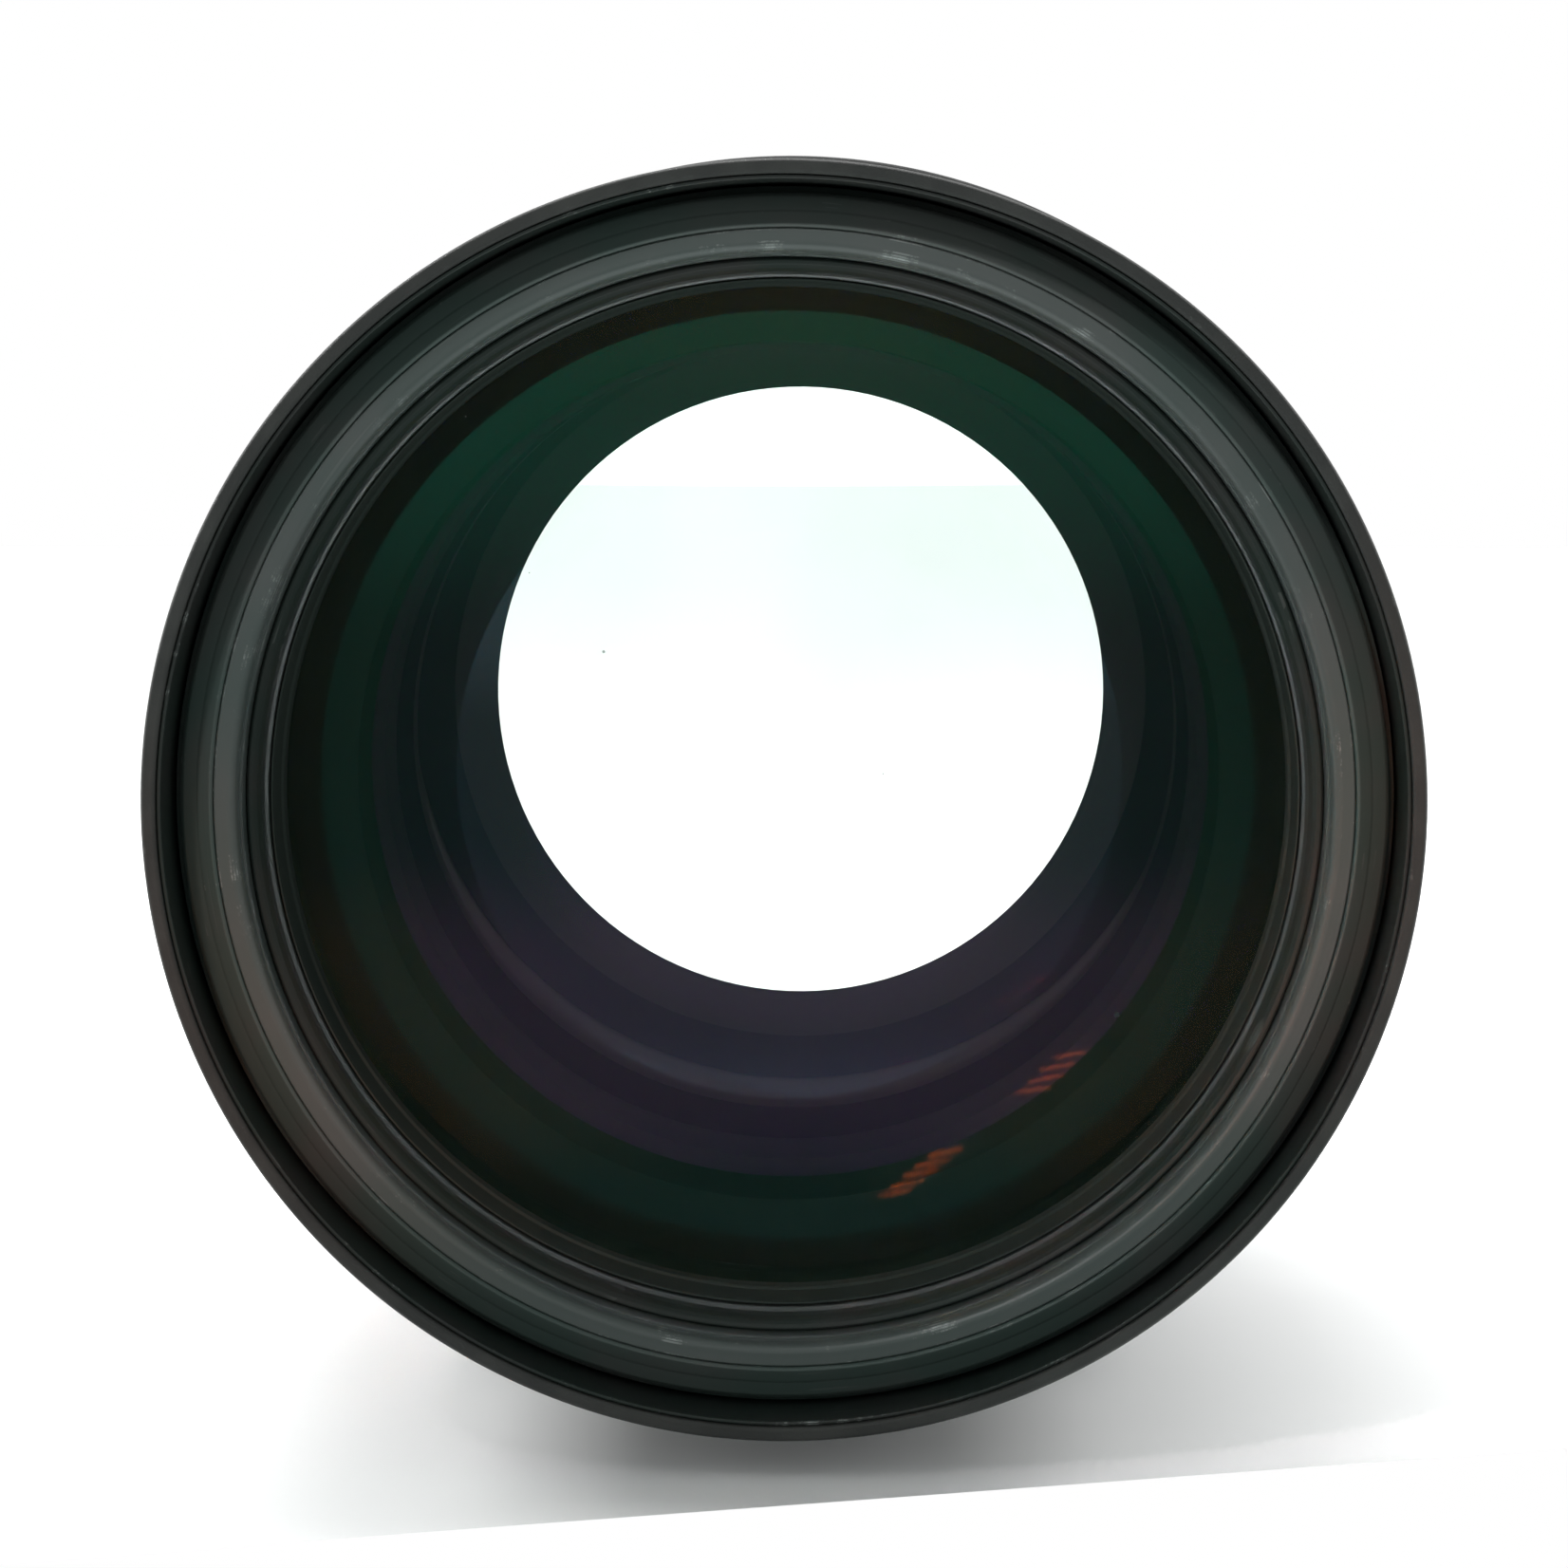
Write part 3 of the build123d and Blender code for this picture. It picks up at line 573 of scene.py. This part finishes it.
def rib_tree():
    """Geometry nodes: upright ribs with rounded ends, set evenly round Z."""
    tree = bpy.data.node_groups.new("upright ribs", "GeometryNodeTree")
    tree.interface.new_socket("Count", in_out="INPUT", socket_type="NodeSocketInt")
    for label in ("Radius", "Foot", "Length", "Half width", "Height"):
        tree.interface.new_socket(label, in_out="INPUT", socket_type="NodeSocketFloat")
    tree.interface.new_socket("Material", in_out="INPUT", socket_type="NodeSocketMaterial")
    tree.interface.new_socket("Geometry", in_out="OUTPUT", socket_type="NodeSocketGeometry")
    sizes = tree.nodes.new("NodeGroupInput").outputs
    index = node(tree, "GeometryNodeInputIndex").outputs[0]
    step = maths(tree, "DIVIDE", 2 * math.pi, sizes["Count"])
    angle = maths(tree, "MULTIPLY", index, step)
    spot = node(tree, "ShaderNodeCombineXYZ", {
        "X": maths(tree, "MULTIPLY", maths(tree, "COSINE", angle), sizes["Radius"]),
        "Y": maths(tree, "MULTIPLY", maths(tree, "SINE", angle), sizes["Radius"]),
        "Z": sizes["Foot"],
    }).outputs[0]
    spots = node(tree, "GeometryNodePoints", {"Count": sizes["Count"], "Position": spot}).outputs[0]
    top = node(tree, "ShaderNodeCombineXYZ", {"Z": sizes["Length"]}).outputs[0]
    spine = node(tree, "GeometryNodeCurvePrimitiveLine", {"End": top}).outputs[0]
    spine = node(tree, "GeometryNodeResampleCurve", {"Curve": spine, "Count": 9}).outputs[0]
    share = node(tree, "GeometryNodeSplineParameter").outputs[0]
    from_middle = maths(tree, "MULTIPLY", maths(tree, "SUBTRACT", share, 0.5), 2.0)
    far_out = maths(tree, "POWER", maths(tree, "ABSOLUTE", from_middle), 12.0)
    lost = maths(tree, "MULTIPLY", far_out, 0.75)
    taper = maths(tree, "SQRT", maths(tree, "SUBTRACT", 1.001, lost))
    circle = node(tree, "GeometryNodeCurvePrimitiveCircle", {"Resolution": 8, "Radius": 1.0})
    squeeze = node(tree, "ShaderNodeCombineXYZ", {
        "X": sizes["Height"], "Y": sizes["Half width"], "Z": 1.0,
    }).outputs[0]
    section = node(
        tree, "GeometryNodeTransform", {"Geometry": circle.outputs[0], "Scale": squeeze}
    ).outputs[0]
    rib = node(tree, "GeometryNodeCurveToMesh", {
        "Curve": spine, "Profile Curve": section, "Scale": taper, "Fill Caps": True,
    }).outputs[0]
    turn = node(tree, "ShaderNodeCombineXYZ", {"Z": angle}).outputs[0]
    ribs = node(tree, "GeometryNodeInstanceOnPoints", {
        "Points": spots, "Instance": rib, "Rotation": turn,
    }).outputs[0]
    real = node(tree, "GeometryNodeRealizeInstances", {0: ribs}).outputs[0]
    done = node(tree, "GeometryNodeSetMaterial", {"Geometry": real, "Material": sizes["Material"]})
    out = tree.nodes.new("NodeGroupOutput")
    tree.links.new(done.outputs[0], out.inputs[0])
    return tree


GRIP_BAND_R = GRIP_R - 0.32
GRIP_RIBS = 84

rubber = moulded_rubber("grip rubber", (0.009, 0.0098, 0.0095), (0.0135, 0.0145, 0.014))
grip = turned("grip_band", [
    (GRIP_SEAT_R + 0.02, GRIP_FOOT),
    (GRIP_R - 0.35, GRIP_FOOT),
    (GRIP_R, GRIP_FOOT + 0.35),
    (GRIP_R, GRIP_FOOT + 1.3),
    (GRIP_BAND_R, GRIP_FOOT + 1.7),
    (GRIP_BAND_R, GRIP_HEAD - 1.7),
    (GRIP_R, GRIP_HEAD - 1.3),
    (GRIP_R, GRIP_HEAD - 0.35),
    (GRIP_R - 0.35, GRIP_HEAD),
    (GRIP_SEAT_R + 0.02, GRIP_HEAD),
], bevel=0.15)
fitted(grip, "body", "rubber", rubber, "grip_rubber")

upright_ribs = rib_tree()
grip_ribs = grown(
    "grip_ribs", upright_ribs, ALONG_AXIS, Count=GRIP_RIBS, Radius=(GRIP_BAND_R - 0.23) * MM,
    Foot=(GRIP_FOOT + 2.1) * MM, Length=(GRIP_HEAD - GRIP_FOOT - 4.2) * MM,
    Half_width=0.62 * MM, Height=0.54 * MM, Material=rubber,
)
fitted(grip_ribs, "body", "rubber", rubber)

# ---- Lens tube, glass and spacers -----------------------------------------------------------
# The blackened aluminium tube holds the cemented eye doublet, a middle lens and the cemented
# field doublet, parted by two spacers and held from below by a slotted ring.


def coated_glass(name, tint, film, film_ior):
    """Clear glass with an anti-reflection film of a thickness in nanometres, and a little dust."""
    made, tree, surface = shader(name, 0.0, coat=0.05)
    smear = noise(tree, placed_at_mm(tree), 0.08, 4.0)
    specks = use(tree, dust, Per_mm=0.45, Size=0.055, Spread=0.16)["Mask"]
    clear = blended(tree, ramped(tree, smear, 0.4, 0.75), tint, [0.97 * c for c in tint])
    tree.links.new(blended(tree, specks, clear, (0.35, 0.36, 0.35)), surface.inputs["Base Color"])
    haze = maths(tree, "MULTIPLY", ramped(tree, smear, 0.5, 0.8), 0.02)
    tree.links.new(maths(tree, "MULTIPLY_ADD", specks, 0.5, haze), surface.inputs["Roughness"])
    surface.inputs["Transmission Weight"].default_value = 1.0
    surface.inputs["IOR"].default_value = 1.018
    surface.inputs["Thin Film Thickness"].default_value = film
    surface.inputs["Thin Film IOR"].default_value = film_ior
    return made


green_black = baffle_paint(
    "green-black baffle paint", (0.014, 0.028, 0.023), (0.022, 0.038, 0.032)
)
finished("lens_tube", green_black)
finished("front_spacer", green_black)
finished("rear_spacer", brown_black)
finished("field_retainer", brown_black)

flint_glass = coated_glass("flint glass, green film", (0.985, 1.0, 0.995), 532.0, 1.19)
crown_glass = coated_glass("crown glass, amber film", (0.99, 1.0, 0.995), 448.0, 1.09)
middle_glass = coated_glass("middle glass, blue film", (0.98, 0.995, 1.0), 493.0, 1.14)
field_glass = coated_glass("field glass, violet film", (0.98, 0.995, 1.0), 480.0, 1.13)
finished("eye_flint", flint_glass)
finished("eye_crown", crown_glass)
finished("middle_lens", middle_glass)
finished("field_crown", field_glass)
finished("field_flint", field_glass)

# ---- Eye retainer ---------------------------------------------------------------------------
# A stepped ring in the threaded mouth of the lens tube clamps the eye lens. Its bore is turned
# in fine steps, which catch the light as thin lines.

_, RETAINER_TOP, RETAINER_R = reach("eye_retainer")


def curved_in(radius, top, width, drop):
    """A rounded edge that starts level at a radius and curves in and down to a bore."""
    steps = 6
    quarter = [math.pi / 2 * i / steps for i in range(steps + 1)]
    return [(radius - width * math.sin(t), top - drop * (1 - math.cos(t))) for t in quarter]


bore_black = anodised(
    "black anodised bore", (0.016, 0.026, 0.0225), (0.027, 0.028, 0.0265), wear=0.32, gloss=0.2
)
BORE_TOP = 55.8
BORE_WALL_R = 23.46
RETAINER_SEAT = 51.95
retainer = turned("eye_retainer_ring", [
    (BORE_WALL_R, RETAINER_SEAT),
    (RETAINER_R, RETAINER_SEAT),
    (RETAINER_R, RETAINER_TOP - 0.08),
    *curved_in(24.22, RETAINER_TOP, 0.72, RETAINER_TOP - BORE_TOP),
], bevel=0.04)
fitted(retainer, "body", "black_interior", bore_black, "eye_retainer")

bore_paint = baffle_paint("retainer bore paint", (0.030, 0.042, 0.037), (0.044, 0.050, 0.046))
BORE_LINING_R = BORE_WALL_R - 0.01
BORE_R = 23.33
BORE_LIP_R = 23.2
bore = turned("eye_retainer_bore", [
    (BORE_LIP_R, 51.67),
    (BORE_LINING_R, 51.6),
    (BORE_LINING_R, BORE_TOP - 0.06),
    (BORE_R + 0.03, BORE_TOP - 0.08),
    (BORE_R, BORE_TOP - 0.5),
    (BORE_R, 52.9),
    (BORE_LIP_R, 52.75),
], bevel=0.03)
fitted(bore, "body", "black_interior", bore_paint)

# ---- Front ring and lock ring ---------------------------------------------------------------
# The sloping ring screws on the neck of the lens tube, inside the eyecup. The lock ring screws
# into it. Both are turned aluminium, and handling has rubbed the lock ring's inner edge bright.

FRONT_FOOT, CREST, FRONT_R = reach("front_ring")
ring_black = anodised(
    "black anodised ring", (0.046, 0.070, 0.063), (0.066, 0.072, 0.069), wear=0.34, gloss=0.3
)
SEAM_R = 25.55
NECK_THREAD_R = 25.62
CREST_R = 25.72
FACE_R = 27.15
LEDGE = 56.02
front = turned("front_ring_sloping", [
    (NECK_THREAD_R, FRONT_FOOT),
    (FRONT_R, FRONT_FOOT),
    (FRONT_R, 57.6),
    (FACE_R, 57.8),
    (FACE_R, 58.7),
    (FACE_R - 0.15, 58.9),
    (26.36, 59.25),
    (26.28, 59.33),
    (CREST_R, CREST),
    (SEAM_R + 0.02, CREST - 0.12),
    (SEAM_R + 0.02, LEDGE),
    (NECK_THREAD_R, LEDGE),
], bevel=0.06)
fitted(front, "body", "black_anodised", ring_black, "front_ring")

LOCK_FOOT, LOCK_TOP, _ = reach("front_lock_ring")
lock_black = anodised(
    "rubbed anodised ring", (0.048, 0.064, 0.060), (0.064, 0.072, 0.070), wear=0.40, gloss=0.6
)
LOCK_BORE_R = 24.37
lock = turned("front_lock_ring_chamfered", [
    (LOCK_BORE_R, LOCK_FOOT),
    (SEAM_R, LOCK_FOOT),
    (SEAM_R, LOCK_TOP - 0.06),
    (SEAM_R - 0.06, LOCK_TOP),
    *curved_in(24.95, LOCK_TOP, 0.5, 0.6),
    (LOCK_BORE_R, LOCK_TOP - 0.69),
], bevel=0.04)
fitted(lock, "body", "chamfered_ring", lock_black, "front_lock_ring")

# ---- Click stop -----------------------------------------------------------------------------
# A brass ring that turns in the body's pocket, with tongues that carry the eyecup round, and a
# sprung steel ball below it that drops into a dimple every thirty degrees.


def turned_brass():
    made, tree, surface = shader("turned brass", 0.3, metallic=1.0)
    marks = use(tree, tool_marks, Lines=8.0, Wander=0.8)["Height"]
    brass = blended(tree, marks, (0.55, 0.39, 0.15), (0.74, 0.56, 0.27))
    tree.links.new(brass, surface.inputs["Base Color"])
    tree.links.new(maths(tree, "MULTIPLY_ADD", marks, 0.25, 0.2), surface.inputs["Roughness"])
    bumped(tree, surface, marks, 0.006)
    return made


def bright_steel():
    made, tree, surface = shader("bright steel", 0.18, metallic=1.0)
    marks = use(tree, tool_marks, Lines=12.0, Wander=2.0)["Height"]
    steel = blended(tree, marks, (0.5, 0.51, 0.52), (0.68, 0.69, 0.7))
    tree.links.new(steel, surface.inputs["Base Color"])
    tree.links.new(maths(tree, "MULTIPLY_ADD", marks, 0.2, 0.1), surface.inputs["Roughness"])
    return made


def greased_rubber():
    made, tree, surface = shader("greased rubber", 0.3, coat=0.3)
    film = noise(tree, placed_at(tree), 300.0, 3.0)
    grease = blended(tree, film, (0.008, 0.008, 0.008), (0.02, 0.02, 0.019))
    tree.links.new(grease, surface.inputs["Base Color"])
    tree.links.new(maths(tree, "MULTIPLY_ADD", film, 0.4, 0.15), surface.inputs["Roughness"])
    return made


finished("click_ring", turned_brass())
steel = bright_steel()
finished("click_ball", steel)
finished("click_spring", steel)
finished("drag_o_ring", greased_rubber())

# ---- Eyecup sleeve --------------------------------------------------------------------------
# The anodised sleeve that turns and rises. Its thick skirt runs in the pocket, three grub screws
# in the skirt follow the grooves, and its thin upper wall carries the rubber jacket.

SLEEVE_FOOT, BEAD_TOP, SLEEVE_R = reach("eyecup_sleeve")
JACKET_FOOT, LIP, JACKET_R = reach("eyecup_rubber")
SKIRT_R = 28.45
SKIRT_IN_R = 26.5
SKIRT_TOP = 38.3
SLEEVE_GROOVE_R = SLEEVE_R - 0.25
JACKET_SEAT_R = 28.05
BEAD_FOOT = 61.2
BEAD_R = 27.8
SLEEVE_IN_R = 27.6
sleeve_black = anodised(
    "black anodised sleeve", (0.013, 0.021, 0.018), (0.021, 0.0225, 0.0215), wear=0.36, gloss=0.32
)
sleeve = turned("eyecup_sleeve_anodised", [
    (SKIRT_IN_R, SLEEVE_FOOT),
    (SKIRT_R, SLEEVE_FOOT),
    (SKIRT_R, SKIRT_TOP),
    (SLEEVE_GROOVE_R, SKIRT_TOP),
    (SLEEVE_R, SKIRT_TOP + 0.25),
    (SLEEVE_R, 40.4),
    (SLEEVE_GROOVE_R, 40.65),
    (SLEEVE_GROOVE_R, 41.15),
    (SLEEVE_R, 41.4),
    (SLEEVE_R, JACKET_FOOT - 0.25),
    (SLEEVE_R - 0.2, JACKET_FOOT - 0.05),
    (JACKET_SEAT_R, JACKET_FOOT - 0.05),
    (JACKET_SEAT_R, BEAD_FOOT),
    (BEAD_R, BEAD_FOOT),
    (BEAD_R, BEAD_TOP - 0.05),
    (BEAD_R - 0.05, BEAD_TOP),
    (SLEEVE_IN_R + 0.05, BEAD_TOP),
    (SLEEVE_IN_R, BEAD_TOP - 0.05),
    (SLEEVE_IN_R, 45.0),
    (SKIRT_IN_R, 45.0),
], bevel=0.09)
drilled(sleeve, SCREW_HOLE_R, inner=26.0, outer=29.5, station=32.0, angles=THREE_ROUND)
fitted(sleeve, "eyecup", "black_anodised", sleeve_black, "eyecup_sleeve")
finished("guide_screws", screw_black)

# ---- Eyecup jacket --------------------------------------------------------------------------
# The rubber jacket of the eyecup, pulled over the sleeve and folded over its bead as a narrow
# lip. Fine upright ribs give a hold for turning it.

JACKET_BASE_R = JACKET_R - 0.2
JACKET_COLLAR_R = JACKET_R - 0.02
JACKET_IN_R = JACKET_SEAT_R + 0.02
LIP_IN_R = BEAD_R + 0.02
JACKET_RIBS = 300

lip_rubber = moulded_rubber("eyecup rubber", (0.030, 0.031, 0.030), (0.041, 0.042, 0.040))
jacket = turned("eyecup_jacket", [
    (JACKET_IN_R, JACKET_FOOT),
    (JACKET_R - 0.15, JACKET_FOOT),
    (JACKET_R, JACKET_FOOT + 0.15),
    (JACKET_R, JACKET_FOOT + 0.9),
    (JACKET_BASE_R, JACKET_FOOT + 1.1),
    (JACKET_BASE_R, LIP - 0.8),
    (JACKET_COLLAR_R, LIP - 0.6),
    (JACKET_COLLAR_R, LIP - 0.2),
    (JACKET_R - 0.12, LIP),
    (27.95, LIP),
    (LIP_IN_R, LIP - 0.08),
    (LIP_IN_R, BEAD_FOOT + 0.02),
    (JACKET_IN_R, BEAD_FOOT + 0.02),
], bevel=0.08, around=320)
fitted(jacket, "eyecup", "rubber", lip_rubber, "eyecup_rubber")

jacket_ribs = grown(
    "eyecup_jacket_ribs", upright_ribs, ALONG_AXIS, Count=JACKET_RIBS,
    Radius=(JACKET_BASE_R - 0.04) * MM, Foot=(JACKET_FOOT + 1.3) * MM,
    Length=(LIP - JACKET_FOOT - 1.95) * MM, Half_width=0.17 * MM, Height=0.24 * MM,
    Material=lip_rubber,
)
fitted(jacket_ribs, "eyecup", "rubber", lip_rubber)

# ---- Table, backdrop and light --------------------------------------------------------------
# A pale tabletop whose front edge runs askew just before the eyecup, under a white tent that is
# bright behind the eyepiece and dim on the eye side. Softboxes behind light the table, and thin
# slatted lamps in front of the lens leave two amber glints in the glass.

TABLE_TOP = -GRIP_R
TABLE_FRONT = LIP + 4.4
TABLE_SKEW = 18.0


def tabletop():
    mesh = bpy.data.meshes.new("tabletop")
    width, depth = 2.4, 1.6
    front = -TABLE_FRONT * MM
    skew = width / 2 * math.tan(math.radians(TABLE_SKEW))
    level = TABLE_TOP * MM
    mesh.from_pydata([
        (-width / 2, front - skew, level), (width / 2, front + skew, level),
        (width / 2, front + depth, level), (-width / 2, front + depth, level),
    ], [], [(0, 1, 2, 3)])
    made, tree, surface = shader("pale tabletop", 0.6)
    mottle = noise(tree, placed_at(tree), 40.0, 3.0)
    pale = blended(tree, mottle, (0.86, 0.87, 0.87), (0.9, 0.9, 0.9))
    tree.links.new(pale, surface.inputs["Base Color"])
    mesh.materials.append(made)
    top = bpy.data.objects.new("tabletop", mesh)
    bpy.context.scene.collection.objects.link(top)


tabletop()


def white_tent():
    """World light by direction: bright behind and above the eyepiece, dim on the eye side."""
    world = bpy.data.worlds.new("white tent")
    world.use_nodes = True
    tree = world.node_tree
    direction = node(tree, "ShaderNodeTexCoord").outputs["Generated"]
    ahead = node(tree, "ShaderNodeSeparateXYZ", {0: direction}).outputs
    behind = ramped(tree, ahead["Y"], 0.0, 0.45)
    low = ramped(tree, ahead["Z"], -0.5, -0.9)
    band_foot = ramped(tree, ahead["Z"], 0.02, 0.2)
    band_top = ramped(tree, ahead["Z"], 0.52, 0.4)
    band = maths(tree, "MULTIPLY", band_foot, band_top)
    eye_side = blended(tree, band, (0.26, 0.29, 0.28), (0.95, 1.0, 0.98))
    eye_side = blended(tree, low, eye_side, (1.9, 2.1, 2.06))
    beside = ramped(tree, maths(tree, "ABSOLUTE", ahead["X"], 0.0), 0.7, 0.9)
    beside = maths(tree, "MULTIPLY", beside, ramped(tree, ahead["Y"], -0.2, 0.2))
    light = blended(tree, behind, eye_side, (1.7, 1.7, 1.7))
    light = blended(tree, beside, light, (2.4, 2.4, 2.4))
    to_roof = node(
        tree, "ShaderNodeVectorMath", {0: direction, 1: (0.0, 0.56, 0.83)}, operation="DOT_PRODUCT",
    ).outputs["Value"]
    roof = ramped(tree, to_roof, 0.82, 0.95)
    light = blended(tree, roof, light, (2.6, 2.6, 2.6))
    camera_sees = node(tree, "ShaderNodeLightPath").outputs["Is Camera Ray"]
    shown = blended(tree, camera_sees, light, (1.0, 1.0, 1.0))
    tree.links.new(shown, tree.nodes["Background"].inputs["Color"])
    bpy.context.scene.world = world


white_tent()


def softbox(name, place, aim, width, height, power, spread=180):
    """A rectangular area light: millimetres, watts, and the spread of its beam in degrees."""
    light = bpy.data.lights.new(name, "AREA")
    light.shape = "RECTANGLE"
    light.size = width * MM
    light.size_y = height * MM
    light.energy = power
    light.spread = math.radians(spread)
    held = bpy.data.objects.new(name, light)
    held.location = Vector(place) * MM
    held.rotation_euler = (Vector(aim) - Vector(place)).to_track_quat("-Z", "Y").to_euler()
    bpy.context.scene.collection.objects.link(held)
    return held


EYE_END = (0, -LIP, 0)
softbox("overhead_strip", (-40, -LIP + 150, 400), EYE_END, 260, 60, 0.7)
softbox("left_lamp", (-330, -LIP + 130, 300), EYE_END, 180, 180, 1.5)
softbox("right_lamp", (330, -LIP + 130, 330), EYE_END, 180, 180, 0.9)
softbox("upper_left_lamp", (-174, -LIP - 321, 341), (-14, -LIP, 24), 170, 60, 0.009, spread=8)


WINDOW_BACK = 420
SLAT_PITCH = 8.0
SLAT_HEIGHT = 3
SLAT_TILT = 15
CROWN_BACK = (8, -41.8, -15)


def louvred_window(name, side, height, length, slats):
    """Thin amber slats far in front of the lens, which glint off the back of its crown."""
    for i in range(slats):
        step = SLAT_PITCH * (i - (slats - 1) / 2)
        place = (side + 1.1 * step, -LIP - WINDOW_BACK, height + step)
        slat = softbox(
            f"{name}_slat_{i + 1}", place, CROWN_BACK, length, SLAT_HEIGHT,
            power=3e-6 * length, spread=3,
        )
        slat.data.color = (1.0, 0.3, 0.14)
        slat.rotation_euler.rotate_axis("Z", math.radians(SLAT_TILT))


louvred_window("side_window", -189, 165, 45, 4)
louvred_window("high_window", -94, 237, 62, 5)
bpy.context.scene.view_settings.view_transform = "Standard"

# ---- Camera ---------------------------------------------------------------------------------
# It looks into the eye lens from a hand's length away, a little from above and from the right.

CAMERA_BACK = 200.0
CAMERA_RIGHT = 2.5
CAMERA_UP = 16.7
AIM_RIGHT = 0.05
AIM_UP = 1.03
FRAME_WIDTH = 69.05
SENSOR = 36.0

camera = bpy.data.objects.new("camera", bpy.data.cameras.new("camera"))
camera.data.sensor_width = SENSOR
camera.data.lens = SENSOR * CAMERA_BACK / FRAME_WIDTH
camera.data.clip_start = 0.01
camera.location = Vector((CAMERA_RIGHT, -LIP - CAMERA_BACK, CAMERA_UP)) * MM
aim = Vector((AIM_RIGHT, -LIP, AIM_UP)) * MM
camera.rotation_euler = (aim - camera.location).to_track_quat("-Z", "Y").to_euler()
bpy.context.scene.collection.objects.link(camera)
bpy.context.scene.camera = camera
